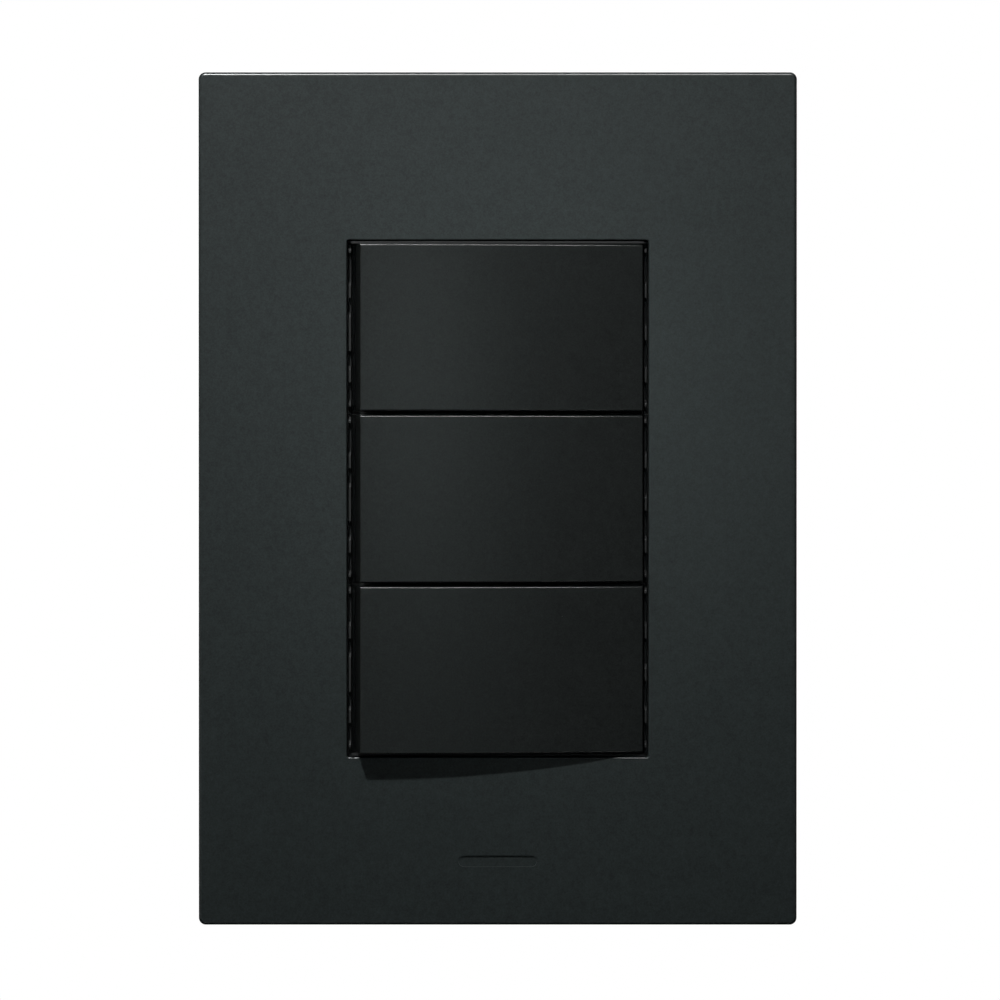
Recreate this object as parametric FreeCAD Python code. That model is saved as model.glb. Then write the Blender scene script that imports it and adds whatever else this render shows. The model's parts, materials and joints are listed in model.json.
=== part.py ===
"""A wall plate with three rocker switches: cover plate, support frame and three two-way switch modules.

Frame: X to the right, Z up, the front towards -Y. The wall is the plane Y = 0, and the origin is the
middle of the two box screws. Each piece is one STEP file in parts/. Lengths are in mm, angles in degrees.
"""

import FreeCAD
import Part

import os

V = FreeCAD.Vector
X_AXIS = V(1, 0, 0)
Y_AXIS = V(0, 1, 0)
Z_AXIS = V(0, 0, 1)
OVERLAP = 0.2  # fused pieces run into each other by this much
PAST = 1.0  # cutting tools run past the surface by this much
SLACK = 0.01  # for picking edges, and for rounds that would otherwise just close

# Cover plate
PLATE_WIDTH = 84.2
PLATE_HEIGHT = 120.0
PLATE_DEPTH = 8.5
PLATE_FACE = 2.2  # thickness of the front wall
PLATE_SKIRT = 2.0  # thickness of the side walls
PLATE_CORNER = 1.0
PLATE_EDGE = 0.5
WINDOW_WIDTH = 42.4
WINDOW_HEIGHT = 72.75
WINDOW_CORNER = 0.3
WINDOW_EDGE = 0.2
MARK_LENGTH = 11.0
MARK_HEIGHT = 1.6
MARK_DEPTH = 0.25
MARK_Z = -51.0
POST_X = 30.0  # the four posts that grip the support frame
POST_Z = 46.0
POST_WIDTH = 3.8
POST_THICKNESS = 1.8
POST_END = -0.8
POST_WEB_HALF_X = 0.5  # the web that stiffens the foot of a post
POST_WEB_HALF_Z = 3.0
PRY_WIDTH = 10.0  # screwdriver notch in the lower skirt
PRY_DEPTH = 1.5
RIB = 1.0
RIB_HEIGHT = 1.4
RIB_ACROSS_Z = 55.5  # ribs across the plate, above and below
RIB_SIDE_X = 37.8  # ribs down its sides
RIB_SHORT_X = 14.0  # short ribs above and below the window
RIB_SHORT_START = 38.5

# Support frame
FRAME_WIDTH = 72.0
FRAME_HEIGHT = 106.0
FRAME_THICKNESS = 2.5
FRAME_CORNER = 4.0
FRAME_RIM = 2.0  # height of the raised rim and sockets above the frame's plate
OPENING_X = 22.15  # half width of the opening for the modules
LIP_Z = 36.0  # inner faces of the lips above and below the rockers
LIP_RIM_Z = (35.9, 36.2)  # a thin rim on each lip stands inside the plate's window
LIP_RIM_FRONT = -8.25
LIP_RIM_HALF = 20.6
LIP_THICKNESS = 1.3
LIP_FRONT = -6.0
SOCKET_GAP = 0.4
SOCKET_WALL = 1.3
SOCKET_DEPTH = 1.5
RAIL_GAP = 0.3  # rails keep the modules' ledges in line
RAIL_HALF = 0.6
LEVEL_SLOT_HALF = 9.0  # long slots beyond the box screws
LEVEL_SLOT_Z = (47.2, 49.6)
POCKET_DEPTH = 0.9  # shallow pockets in the back, where the modules' barbs catch
POCKET_REACH = 0.8
BOX_SCREW_SPACING = 83.3
BOX_SLOT_HALF = 3.0  # the slot runs this far each side of the screw
BOX_SLOT_R = 2.2

# Box screws
BOX_SCREW_R = 1.75
BOX_NECK_R = 1.45  # the thread starts behind the frame, after a plain neck
BOX_NECK_END = 0.5
BOX_TIP = 0.5
BOX_SCREW_REACH = 18.0
BOX_HEAD_R = 3.4
BOX_HEAD_HEIGHT = 1.9
BOX_HEAD_RIM = 0.7
BOX_RECESS = (1.2, 3.6, 0.8)  # depth, length and width of the cross

# Modules
PITCH = 24.0
MODULES = {"top": PITCH, "middle": 0.0, "bottom": -PITCH}
HALF_X = 21.9  # half width of the housing
HALF_Z = 11.85  # half height of the housing
WALL = 1.2
CORNER = 0.5
CHEEK_IN = 20.67  # inner face of the end walls beside the rocker
CHEEK_FRONT = -5.9
SEAL_HALF_Z = 11.97  # the cheeks and the beads on the long walls all but meet those of the next module
SEAL_BEAD = 1.0
RIM_OUT = 20.97  # outer face of the toothed rims that stand inside the plate's window
RIM_FRONT = -6.6
TOOTH_FRONT = -7.6
TOOTH_PITCH = 5.95
TOOTH_SHIFT = -0.75  # the teeth sit this far below the module's middle
TOOTH_LENGTH = 2.8
LONG_TOOTH = 5.9  # the middle tooth on the left
END_TOOTH = 1.4
TOOTH_CHAMFER = 0.5
WALL_FRONT = -3.0  # front of the long walls, under the rocker's skirt
HOUSING_BACK = 12.4
BASE_WALL_X = 1.4  # the terminal base's end walls
BASE_FLOOR = 1.6
BASE_EDGE = 0.8
BASE_BACK = 27.0
BASE_WINDOW_GAP = 0.1  # in front of a tongue's barb
CONTACT_PAD = (1.8, 2.2)  # half sizes of the block that backs a fixed contact
BARRIER_START = 12.2  # the barrier between the right and common terminals
PROP_X = 2.0  # the prop behind the common strip
PROP_Z = (-9.4, -3.8)
FLOOR_FRONT = 0.6  # partition under the rocker
BACK_ROOM_X = 20.37
TUBE_ROOM = (5.5, 4.5)  # half sizes of the opening for the plunger's tube
RIM_END = 0.3  # the toothed rims stop this far from the housing's ends
EAR_HALF = 3.6
EAR_HEIGHT = 1.9  # above the pivot
EAR_ROUND = 1.2
STOP_IN = 19.3  # the rocker's skirt comes down on a shelf at each end
STOP_FRONT = -3.4
TONGUE_X = (-8.5, 8.5)
TONGUE_WIDTH = 5.0
TONGUE_THICKNESS = 1.0
TONGUE_LENGTH = 4.0
TONGUE_ROOT = (3.0, 0.5)  # where the root starts and ends, in front of the housing's back
TONGUE_GAP = 0.05
TONGUE_CATCH = 2.2  # from the base's front edge to the barb
TONGUE_BARB = 0.6
LEDGE = 1.5  # how far the ledge that rests on the frame stands out
LEDGE_THICKNESS = 1.8
LEDGE_HALF = 10.95
BARB_HALF = 4.0
BARB_OUT = 0.65  # how far a barb stands out of the housing
BARB_FLAT = 0.45
BARB_END = 2.6
CATCH_GAP = 0.05

# Rocker
ROCKER_FACE = -11.0  # crown of the slightly domed face
ROCKER_CROWN = 0.75  # how far the face falls away to each end
ROCKER_SKIRT = -5.4
ROCKER_HALF_FACE = 19.85
ROCKER_HALF_SKIRT = 20.3
ROCKER_HALF_Z = 11.725
ROCKER_SHELL = 1.3
ROCKER_TOP = 1.9
ROCKER_EDGE = 0.4  # round along the top and bottom of the face
ROCKER_END = 0.12  # round at the two ends and down the corners
ROCKER_RIBS = ((9.6, 0.5, 3.8), (14.5, 0.4, 3.0))  # place, half thickness and reach behind the face
PIVOT_Y = -2.8
TILT = 4.5  # the rocker rests this far from neutral, left end proud

# Rocker carrier and plunger, measured from the pivot along the plunger's axis
CARRIER_HALF = 9.0
CARRIER_THICKNESS = 1.3
WEB_HALF_X = 1.1
CROSS_HALF = (6.5, 0.8)
CROSS_REACH = 3.4
HUB_R = 3.0
PIVOT_R = 1.5
PIVOT_GAP = 0.06
PIVOT_END = 11.4
TUBE_R = 2.9
TUBE_END = 10.0
BORE_START = 2.4
PLUNGER_R = 1.7
PLUNGER_GAP = 0.05
PLUNGER_TAIL = 9.0
PLUNGER_TIP = 14.0  # centre of the round tip
SPIGOT_R = 0.85
SPIGOT_LENGTH = 2.0
SPRING_R = 1.25
SPRING_WIRE_R = 0.2
SPRING_TURNS = 6
SPRING_GAP = 0.05  # at each end of the spring

# Contact lever
FULCRUM_Y = 14.2
LEVER_RATIO = -12.0 / 9.0  # lever angle for each degree of rocker
LEVER_TOP = 1.2  # lever's front face, this far in front of the fulcrum's axis
LEVER_THICKNESS = 0.8
LEVER_HALF_X = 9.6
LEVER_HALF_Z = 3.0
LEVER_CORNER = 1.5
NOTCH_HALF_X = 0.75  # the lever's notches straddle the tines beside the fulcrum
NOTCH_START = 1.85
KNIFE_R = 0.35
CONTACT_X = 8.0
CONTACT_R = 1.5
CONTACT_HEIGHT = 0.9
SHANK_R = 0.9
UPSET_R = 1.25
UPSET_HEIGHT = 0.3

# Terminals
STRIP = 0.8
TONGUE_START = 5.9  # the contact strip of a fixed terminal starts here
TONGUE_HALF_Z = 2.0
SHOULDER_START = (11.5, 1.3)
FIXED_CONTACT_X = 7.9
UPRIGHT_HALF_Z = 2.8
TINE_REACH = 1.9  # the tines stand this far in front of the fulcrum
TINE_HALF = 0.35
TINE_Z = 2.45
FOOT_REACH = 2.0
FIXED_STRIP_Y = 16.1
FIXED_CONTACT_HEIGHT = 0.5
COMMON_STRIP_Y = 18.2
LEG_X = 16.2  # inner face of the leg that takes the screw
LEG_END = 23.6
LEG_HALF_Z = 4.2
LEG_BACKING = 1.2  # thickness of the base's wall behind a leg
LEG_CLEAR = 0.3  # from a leg's end to the base behind it
TERMINAL_Z = 5.5
WIRE_R = 1.2
WIRE_Z = 8.7
WIRE_BOSS = 0.6
FUNNEL = 0.6
CLAMP_THICKNESS = 0.8
CLAMP_FRONT = 17.6
GROOVE_R = 1.5
GROOVE_DEPTH = 0.3
SCREW_Y = 21.0
SCREW_R = 1.75
SCREW_TIP = 13.2
HEAD_R = 3.0
HEAD_HEIGHT = 1.6
HEAD_GAP = 0.3
HEAD_ROOM = 2.0  # how deep a screw head's opening is
THREAD_GAP = 0.03
SEAT_GAP = 0.05  # from a clamp plate to the head of its screw
HEAD_EDGE = 0.4
HEAD_RECESS = (1.0, 3.4, 0.8)  # depth, length and width of the cross
HEAD_SLOT = (0.7, 0.8)  # depth and width of the slot across it
TERMINALS = ((-1, 1), (1, 1), (1, -1))  # left, right and common: side of X, side of Z

# raised marks on the back of a module
BACK_RIB = (9.0, 0.5)  # half sizes of a rib
BACK_RIB_Z = 4.0
BACK_RIB_HEIGHT = 0.5
DOT_R = 0.45
DOT_HEIGHT = 0.3
DOT_X = 13.6
DOT_STEP = 1.5


def box(x, y, z):
    """A block from three (low, high) pairs."""
    return Part.makeBox(x[1] - x[0], y[1] - y[0], z[1] - z[0], V(x[0], y[0], z[0]))


def centred(half_x, y, half_z, x=0.0, z=0.0):
    """A block centred on x and z, from its half sizes and a (front, back) pair."""
    return box((x - half_x, x + half_x), y, (z - half_z, z + half_z))


def rod(radius, start, end):
    """A round bar between two points."""
    return Part.makeCylinder(radius, (end - start).Length, start, end - start)


def fuse(first, *others):
    """One solid from several that touch."""
    return first.multiFuse(list(others)).removeSplitter()


def cut(shape, *tools):
    """The shape without the tools."""
    return shape.cut(Part.makeCompound(list(tools))) if len(tools) > 1 else shape.cut(tools[0])


def edges(shape, wanted):
    """The edges whose two ends and middle all pass a test."""
    found = []
    for edge in shape.Edges:
        middle = edge.valueAt((edge.FirstParameter + edge.LastParameter) / 2)
        if all(wanted(point) for point in [middle] + [vertex.Point for vertex in edge.Vertexes]):
            found.append(edge)
    return found


def near(a, b):
    return abs(a - b) < 1e-4


def mirrored(shape):
    """The same shape on the other side of X = 0."""
    return shape.mirror(V(0, 0, 0), X_AXIS)


def dome(radius, height, base, direction):
    """A shallow cap of a ball, standing on a point."""
    ball = (radius**2 + height**2) / (2 * height)
    cap = Part.makeSphere(ball, V(0, 0, height - ball))
    keep = Part.makeCylinder(radius + PAST, height + PAST)
    cap = cap.common(keep)
    cap.Placement = FreeCAD.Placement(base, FreeCAD.Rotation(Z_AXIS, direction))
    return cap


def cross_recess(centre, axis, depth, length, width):
    """The cross of a screwdriver recess, sunk along an axis from a screw head's face."""
    arms = []
    for turn in (0, 90):
        arm = Part.makeBox(length, width, depth + PAST, V(-length / 2, -width / 2, -PAST))
        arm.rotate(V(0, 0, 0), Z_AXIS, turn)
        arms.append(arm)
    cross = arms[0].fuse(arms[1])
    cross.Placement = FreeCAD.Placement(centre, FreeCAD.Rotation(Z_AXIS, axis))
    return cross


# ---------------------------------------------------------------- cover plate


def plate_shell():
    """The plate as a shallow open box with rounded corners and front edge."""
    half_x, half_z = PLATE_WIDTH / 2, PLATE_HEIGHT / 2
    outer = centred(half_x, (-PLATE_DEPTH, 0), half_z)
    corners = edges(outer, lambda p: near(abs(p.x), half_x) and near(abs(p.z), half_z))
    outer = outer.makeFillet(PLATE_CORNER, corners)
    outer = outer.makeFillet(PLATE_EDGE, edges(outer, lambda p: near(p.y, -PLATE_DEPTH)))
    inner = centred(half_x - PLATE_SKIRT, (PLATE_FACE - PLATE_DEPTH, PAST), half_z - PLATE_SKIRT)
    return outer.cut(inner)


def plate_window():
    """The window through the plate, with nearly sharp corners."""
    half_x, half_z = WINDOW_WIDTH / 2, WINDOW_HEIGHT / 2
    window = centred(half_x, (-PLATE_DEPTH - PAST, 0), half_z)
    corners = edges(window, lambda p: near(abs(p.x), half_x) and near(abs(p.z), half_z))
    return window.makeFillet(WINDOW_CORNER, corners)


def sunk_mark():
    """A slim bar with round ends, sunk into the plate's face."""
    half = MARK_LENGTH / 2
    bar = centred(half, (-PLATE_DEPTH - PAST, MARK_DEPTH - PLATE_DEPTH), MARK_HEIGHT / 2, z=MARK_Z)
    ends = edges(bar, lambda p: near(abs(p.x), half) and near(abs(p.z - MARK_Z), MARK_HEIGHT / 2))
    return bar.makeFillet(MARK_HEIGHT / 2 - SLACK, ends)


def plate_ribs():
    """Ribs behind the face, above and below the window and beside it."""
    back = PLATE_FACE - PLATE_DEPTH
    depth = (back - OVERLAP, back + RIB_HEIGHT)
    inner_x = PLATE_WIDTH / 2 - PLATE_SKIRT
    inner_z = PLATE_HEIGHT / 2 - PLATE_SKIRT
    ribs = []
    for side in (-1, 1):
        ribs.append(centred(inner_x, depth, RIB / 2, z=side * RIB_ACROSS_Z))
        ribs.append(centred(RIB / 2, depth, inner_z, x=side * RIB_SIDE_X))
        for x in (-RIB_SHORT_X, RIB_SHORT_X):
            z = sorted((side * RIB_SHORT_START, side * inner_z))
            ribs.append(box((x - RIB / 2, x + RIB / 2), depth, z))
    return ribs


def posts():
    """The four posts that grip the support frame, each with a web across its foot."""
    foot = PLATE_FACE - PLATE_DEPTH - OVERLAP
    web_end = -FRAME_THICKNESS - FRAME_RIM - SOCKET_GAP
    pieces = []
    for x in (-POST_X, POST_X):
        for z in (-POST_Z, POST_Z):
            pieces.append(centred(POST_WIDTH / 2, (foot, POST_END), POST_THICKNESS / 2, x, z))
            pieces.append(centred(POST_WEB_HALF_X, (foot, web_end), POST_WEB_HALF_Z, x, z))
    return pieces


def cover_plate():
    """The moulded plate: face, skirt, window, sunk mark, posts and ribs."""
    plate = cut(plate_shell(), plate_window(), sunk_mark())
    half_x, half_z = WINDOW_WIDTH / 2, WINDOW_HEIGHT / 2
    rim = edges(
        plate,
        lambda p: near(p.y, -PLATE_DEPTH) and abs(p.x) < half_x + SLACK and abs(p.z) < half_z + SLACK,
    )
    plate = plate.makeFillet(WINDOW_EDGE, rim)
    plate = fuse(plate, *posts(), *plate_ribs())
    low = -PLATE_HEIGHT / 2
    notch = box((-PRY_WIDTH / 2, PRY_WIDTH / 2), (-PRY_DEPTH, PAST), (low - PAST, low + PLATE_SKIRT + PAST))
    return plate.cut(notch)


# -------------------------------------------------------------- support frame


def frame_tray():
    """The frame's plate with its raised rim."""
    half_x, half_z = FRAME_WIDTH / 2, FRAME_HEIGHT / 2
    front = -FRAME_THICKNESS - FRAME_RIM
    block = centred(half_x, (front, 0), half_z)
    corners = edges(block, lambda p: near(abs(p.x), half_x) and near(abs(p.z), half_z))
    block = block.makeFillet(FRAME_CORNER, corners)
    inner_x, inner_z = half_x - SOCKET_WALL, half_z - SOCKET_WALL
    recess = centred(inner_x, (front - PAST, -FRAME_THICKNESS), inner_z)
    corners = edges(recess, lambda p: near(abs(p.x), inner_x) and near(abs(p.z), inner_z))
    return block.cut(recess.makeFillet(FRAME_CORNER - SOCKET_WALL, corners))


def barb_pockets():
    """A shallow pocket in the frame's back at each module's barbs, as the solids to remove."""
    pockets = []
    half = BARB_HALF + SOCKET_GAP
    for side in (-1, 1):
        x = sorted((side * (OPENING_X - PAST), side * (OPENING_X + POCKET_REACH)))
        for z in MODULES.values():
            pockets.append(box(x, (-POCKET_DEPTH, PAST), (z - half, z + half)))
    return pockets


def support_frame():
    """The frame behind the plate: it holds the modules and takes the box screws."""
    front = -FRAME_THICKNESS - FRAME_RIM
    low_part = (front, OVERLAP - FRAME_THICKNESS)
    added, removed = [], [centred(OPENING_X, (LIP_FRONT, PAST), LIP_Z)]
    for side in (-1, 1):
        z = sorted((side * LIP_Z, side * (LIP_Z + LIP_THICKNESS)))
        added.append(box((-OPENING_X, OPENING_X), (LIP_FRONT, OVERLAP - FRAME_THICKNESS), z))
        z = sorted(side * end for end in LIP_RIM_Z)
        added.append(box((-LIP_RIM_HALF, LIP_RIM_HALF), (LIP_RIM_FRONT, LIP_FRONT + OVERLAP), z))
        rail = side * (HALF_X + LEDGE + RAIL_GAP + RAIL_HALF)
        added.append(centred(RAIL_HALF, low_part, LIP_Z + LIP_THICKNESS, x=rail))
        removed += box_screw_slot(side * BOX_SCREW_SPACING / 2)
        z = sorted(side * end for end in LEVEL_SLOT_Z)
        removed.append(box((-LEVEL_SLOT_HALF, LEVEL_SLOT_HALF), (front - PAST, PAST), z))
    for x in (-POST_X, POST_X):
        for z in (-POST_Z, POST_Z):
            hole_x = POST_WIDTH / 2 + SOCKET_GAP
            hole_z = POST_THICKNESS / 2 + SOCKET_GAP
            wall = SOCKET_WALL
            added.append(centred(hole_x + wall, (front, SOCKET_DEPTH - FRAME_THICKNESS), hole_z + wall, x, z))
            removed.append(centred(hole_x, (front - PAST, PAST), hole_z, x, z))
    return cut(fuse(frame_tray(), *added), *removed, *barb_pockets())


def box_screw_slot(z):
    """A slot that lets the frame be levelled on its screw, as the solids to remove."""
    front = -FRAME_THICKNESS - PAST
    slot = [centred(BOX_SLOT_HALF, (front, PAST), BOX_SLOT_R, z=z)]
    for x in (-BOX_SLOT_HALF, BOX_SLOT_HALF):
        slot.append(rod(BOX_SLOT_R, V(x, front, z), V(x, PAST, z)))
    return slot


def mounting_screws():
    """The two screws into the wall box: domed head, plain neck and thread."""
    screws = []
    for z in (-BOX_SCREW_SPACING / 2, BOX_SCREW_SPACING / 2):
        seat = V(0, -FRAME_THICKNESS, z)
        head = rod(BOX_HEAD_R, seat, seat - Y_AXIS * BOX_HEAD_RIM)
        crown = dome(BOX_HEAD_R, BOX_HEAD_HEIGHT - BOX_HEAD_RIM, seat - Y_AXIS * BOX_HEAD_RIM, -Y_AXIS)
        neck = rod(BOX_NECK_R, seat - Y_AXIS * OVERLAP, V(0, BOX_NECK_END + OVERLAP, z))
        thread = rod(BOX_SCREW_R, V(0, BOX_NECK_END, z), V(0, BOX_SCREW_REACH, z))
        tip = edges(thread, lambda p: near(p.y, BOX_SCREW_REACH))
        screw = fuse(head, crown, neck, thread.makeChamfer(BOX_TIP, tip))
        recess = cross_recess(seat - Y_AXIS * BOX_HEAD_HEIGHT, Y_AXIS, *BOX_RECESS)
        screws.append(screw.cut(recess))
    return Part.makeCompound(screws)


# ------------------------------------------------------------- switch modules


def housing():
    """The front half of a module: walls, toothed cheeks, pivot ears, partition and stops."""
    outer = centred(HALF_X, (CHEEK_FRONT, HOUSING_BACK), HALF_Z)
    corners = edges(outer, lambda p: near(abs(p.x), HALF_X) and near(abs(p.z), HALF_Z))
    outer = outer.makeChamfer(CORNER, corners)
    over_walls = centred(CHEEK_IN, (CHEEK_FRONT - PAST, WALL_FRONT), HALF_Z + PAST)
    front_room = centred(CHEEK_IN, (WALL_FRONT - PAST, FLOOR_FRONT), HALF_Z - WALL)
    back_room = centred(BACK_ROOM_X, (FLOOR_FRONT + WALL, HOUSING_BACK + PAST), HALF_Z - WALL)
    tube_room = centred(TUBE_ROOM[0], (FLOOR_FRONT - PAST, FLOOR_FRONT + WALL + PAST), TUBE_ROOM[1])
    shell = cut(outer, over_walls, front_room, back_room, tube_room)
    shell = fuse(shell, *seals(), *toothed_rims(), *pivot_ears(), *rocker_stops(), *ledges(), *tongues())
    hole = PIVOT_R + PIVOT_GAP
    return shell.cut(rod(hole, V(0, PIVOT_Y, -HALF_Z - PAST), V(0, PIVOT_Y, HALF_Z + PAST)))


def seals():
    """The thickened front of each cheek and a bead along each long wall, which close the gaps."""
    pieces = []
    end = HALF_X - CORNER
    for side in (-1, 1):
        x = sorted((side * CHEEK_IN, side * end))
        pieces.append(box(x, (CHEEK_FRONT, WALL_FRONT), (-SEAL_HALF_Z, SEAL_HALF_Z)))
        z = sorted((side * (HALF_Z - OVERLAP), side * SEAL_HALF_Z))
        pieces.append(box((-end, end), (WALL_FRONT, WALL_FRONT + SEAL_BEAD), z))
    return pieces


def tooth(side, low, high):
    """One tooth on a rim, with its two ends sloped."""
    root = RIM_FRONT + OVERLAP
    points = [
        V(0, root, low),
        V(0, TOOTH_FRONT + TOOTH_CHAMFER, low),
        V(0, TOOTH_FRONT, low + TOOTH_CHAMFER),
        V(0, TOOTH_FRONT, high - TOOTH_CHAMFER),
        V(0, TOOTH_FRONT + TOOTH_CHAMFER, high),
        V(0, root, high),
    ]
    block = Part.Face(Part.makePolygon(points + points[:1])).extrude(X_AXIS * (RIM_OUT - CHEEK_IN))
    block.translate(X_AXIS * CHEEK_IN)
    return block if side > 0 else mirrored(block)


def toothed_rims():
    """The rim on each cheek: a low wall with three teeth and a short one at each end."""
    pieces = []
    rim_half = HALF_Z - RIM_END
    for side, middle in ((-1, LONG_TOOTH), (1, TOOTH_LENGTH)):
        x = sorted((side * CHEEK_IN, side * RIM_OUT))
        pieces.append(box(x, (RIM_FRONT, CHEEK_FRONT + OVERLAP), (-rim_half, rim_half)))
        for step, length in ((-1, TOOTH_LENGTH), (0, middle), (1, TOOTH_LENGTH)):
            centre = TOOTH_SHIFT + step * TOOTH_PITCH
            pieces.append(tooth(side, centre - length / 2, centre + length / 2))
        for end in (-rim_half, rim_half - END_TOOTH):
            pieces.append(tooth(side, end, end + END_TOOTH))
    return pieces


def pivot_ears():
    """Two raised ears in the long walls that hold the rocker's pivot pins."""
    ears = []
    front = PIVOT_Y - EAR_HEIGHT
    for side in (-1, 1):
        z = sorted((side * (HALF_Z - WALL), side * HALF_Z))
        ear = box((-EAR_HALF, EAR_HALF), (front, WALL_FRONT + OVERLAP), z)
        tops = edges(ear, lambda p: near(abs(p.x), EAR_HALF) and near(p.y, front))
        ears.append(ear.makeFillet(EAR_ROUND, tops))
    return ears


def rocker_stops():
    """The shelf at each end that the rocker's skirt comes down on."""
    stops = []
    z = HALF_Z - WALL + OVERLAP
    for side in (-1, 1):
        x = sorted((side * STOP_IN, side * (CHEEK_IN + OVERLAP)))
        stops.append(box(x, (STOP_FRONT, FLOOR_FRONT + OVERLAP), (-z, z)))
    return stops


def ledges():
    """The ledge at each end that rests on the frame, and the barb that catches in the frame's back."""
    pieces = []
    front = -FRAME_THICKNESS - LEDGE_THICKNESS
    root = HALF_X - OVERLAP
    catch = CATCH_GAP - POCKET_DEPTH
    for side in (-1, 1):
        x = sorted((side * root, side * (HALF_X + LEDGE)))
        pieces.append(box(x, (front, -FRAME_THICKNESS), (-LEDGE_HALF, LEDGE_HALF)))
        points = [
            V(root, catch, -BARB_HALF),
            V(HALF_X + BARB_OUT, catch, -BARB_HALF),
            V(HALF_X + BARB_OUT, catch + BARB_FLAT, -BARB_HALF),
            V(root, BARB_END, -BARB_HALF),
        ]
        barb = Part.Face(Part.makePolygon(points + points[:1])).extrude(Z_AXIS * 2 * BARB_HALF)
        pieces.append(barb if side > 0 else mirrored(barb))
    return pieces


def tongues():
    """Four tongues, each with a root in the long wall and a barb that snaps into the terminal base."""
    pieces = []
    face = HALF_Z - WALL - TONGUE_GAP  # outer face of a tongue, just inside the terminal base's wall
    root, root_end = (HOUSING_BACK - distance for distance in TONGUE_ROOT)
    for side in (-1, 1):
        for centre in TONGUE_X:
            x = (centre - TONGUE_WIDTH / 2, centre + TONGUE_WIDTH / 2)
            z = sorted((side * (face - TONGUE_THICKNESS), side * face))
            pieces.append(box(x, (root, HOUSING_BACK + TONGUE_LENGTH), z))
            root_z = sorted((side * (face - TONGUE_THICKNESS), side * (face + OVERLAP)))
            pieces.append(box(x, (root, root_end), root_z))
            points = [
                V(x[0], HOUSING_BACK + TONGUE_CATCH, side * (face - OVERLAP)),
                V(x[0], HOUSING_BACK + TONGUE_CATCH, side * (face + TONGUE_BARB)),
                V(x[0], HOUSING_BACK + TONGUE_LENGTH, side * (face - OVERLAP)),
            ]
            barb = Part.Face(Part.makePolygon(points + points[:1]))
            pieces.append(barb.extrude(X_AXIS * TONGUE_WIDTH))
    return pieces


def base_tray():
    """The terminal base's walls and floor, open to the front, with a window for each tongue's barb."""
    outer = centred(HALF_X, (HOUSING_BACK, BASE_BACK), HALF_Z)
    corners = edges(outer, lambda p: near(abs(p.x), HALF_X) and near(abs(p.z), HALF_Z))
    outer = outer.makeChamfer(CORNER, corners)
    outer = outer.makeChamfer(BASE_EDGE, edges(outer, lambda p: near(p.y, BASE_BACK)))
    removed = [centred(HALF_X - BASE_WALL_X, (HOUSING_BACK - PAST, BASE_BACK - BASE_FLOOR), HALF_Z - WALL)]
    barb = (HOUSING_BACK + TONGUE_CATCH - BASE_WINDOW_GAP, HOUSING_BACK + TONGUE_LENGTH + OVERLAP)
    half = TONGUE_WIDTH / 2 + OVERLAP
    for side in (-1, 1):
        for x in TONGUE_X:
            z = sorted((side * (HALF_Z - WALL - OVERLAP), side * (HALF_Z + PAST)))
            removed.append(box((x - half, x + half), barb, z))
    return cut(outer, *removed)


def terminal_base():
    """The back half of a module: a tray that carries the terminals, with wire and screw openings."""
    floor = BASE_BACK - BASE_FLOOR + OVERLAP
    added, removed = [], []
    for side in (-1, 1):
        pad_y = (FIXED_STRIP_Y + STRIP, floor)
        added.append(centred(CONTACT_PAD[0], pad_y, CONTACT_PAD[1], x=side * CONTACT_X))
    for side, row in TERMINALS:
        z = row * TERMINAL_Z
        strip_back = (FIXED_STRIP_Y if row > 0 else COMMON_STRIP_Y) + STRIP
        wall_x = sorted((side * (LEG_X - LEG_BACKING), side * LEG_X))
        added.append(box(wall_x, (strip_back, floor), (z - LEG_HALF_Z, z + LEG_HALF_Z)))
        added.append(wire_boss(side, row))
        tip, leg_face = V(side * SCREW_TIP, SCREW_Y, z), V(side * (LEG_X + PAST), SCREW_Y, z)
        removed.append(rod(SCREW_R + HEAD_GAP, tip, leg_face))
        inside, outside = V(side * (HALF_X - HEAD_ROOM), SCREW_Y, z), V(side * (HALF_X + PAST), SCREW_Y, z)
        removed.append(rod(HEAD_R + HEAD_GAP, inside, outside))
        removed += wire_entry(side, row)
    added.append(box((BARRIER_START, HALF_X - WALL), (COMMON_STRIP_Y - WALL, floor), (-WALL / 2, WALL / 2)))
    added.append(box((PROP_X, PROP_X + WALL), (COMMON_STRIP_Y + STRIP, floor), PROP_Z))
    return cut(fuse(base_tray(), *added, *back_marks()), *removed)


def wire_x(side):
    """The wire lies between the leg and the clamp plate."""
    return side * (LEG_X + STRIP + WIRE_R)


def wire_boss(side, row):
    """Material inside the base that lengthens the wire's guide hole."""
    start = V(wire_x(side), LEG_END + LEG_CLEAR, row * WIRE_Z)
    return rod(WIRE_R + WIRE_BOSS, start, V(start.x, BASE_BACK - BASE_FLOOR + OVERLAP, start.z))


def wire_entry(side, row):
    """The guide hole for a stripped wire and its funnel, as the solids to remove."""
    x, z = wire_x(side), row * WIRE_Z
    hole = rod(WIRE_R, V(x, LEG_END - PAST, z), V(x, BASE_BACK + PAST, z))
    funnel = Part.makeCone(WIRE_R + FUNNEL, WIRE_R, FUNNEL, V(x, BASE_BACK, z), -Y_AXIS)
    return [hole, funnel]


def back_marks():
    """Two raised ribs on the back, and raised dots that tell the three terminals apart."""
    marks = []
    rib_y = (BASE_BACK - OVERLAP, BASE_BACK + BACK_RIB_HEIGHT)
    for z in (-BACK_RIB_Z, BACK_RIB_Z):
        marks.append(centred(BACK_RIB[0], rib_y, BACK_RIB[1], z=z))
    for count, (side, row) in enumerate(TERMINALS, start=1):
        for step in range(count):
            centre = V(side * (DOT_X - DOT_STEP * step), BASE_BACK - OVERLAP, row * WIRE_Z)
            marks.append(rod(DOT_R, centre, centre + Y_AXIS * (OVERLAP + DOT_HEIGHT)))
    return marks


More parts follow.
